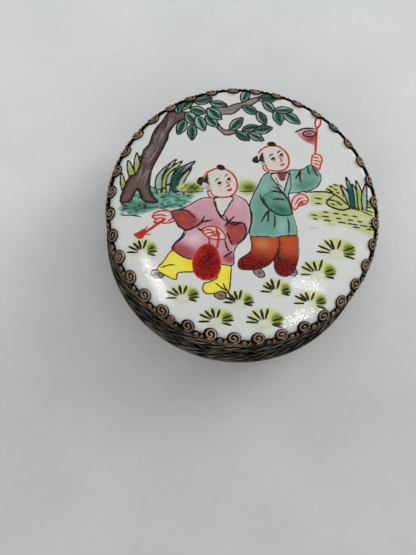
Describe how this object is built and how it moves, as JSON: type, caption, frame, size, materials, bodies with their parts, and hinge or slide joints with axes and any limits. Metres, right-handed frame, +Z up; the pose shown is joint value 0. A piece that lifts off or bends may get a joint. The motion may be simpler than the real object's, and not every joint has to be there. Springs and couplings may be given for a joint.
{
  "type": "porcelain jewelry box",
  "caption": "Small round trinket box of dark metal with a lift-off lid: a domed porcelain plaque held under a border of wire scrolls",
  "frame": {"origin": "middle of the box's underside, on the surface it stands on", "axes": "+Z up, +Y towards the top of the painted picture, +X to its right"},
  "size_m": [0.0594, 0.0594, 0.0189],
  "materials": {
    "dark_metal": "tarnished nearly black, satin",
    "wire_metal": "tarnished, brighter on its crown",
    "scroll_metal": "worn silver plating, pinkish brown, dark in its recesses",
    "porcelain": "clear gloss glaze over a painted picture"
  },
  "bodies": {
    "root": {"base_cup": "dark_metal", "foot_wire": "wire_metal", "lid_shell": "dark_metal", "lid_wire": "wire_metal", "porcelain_plaque": "porcelain", "scroll_border": "scroll_metal"}
  },
  "joints": []
}
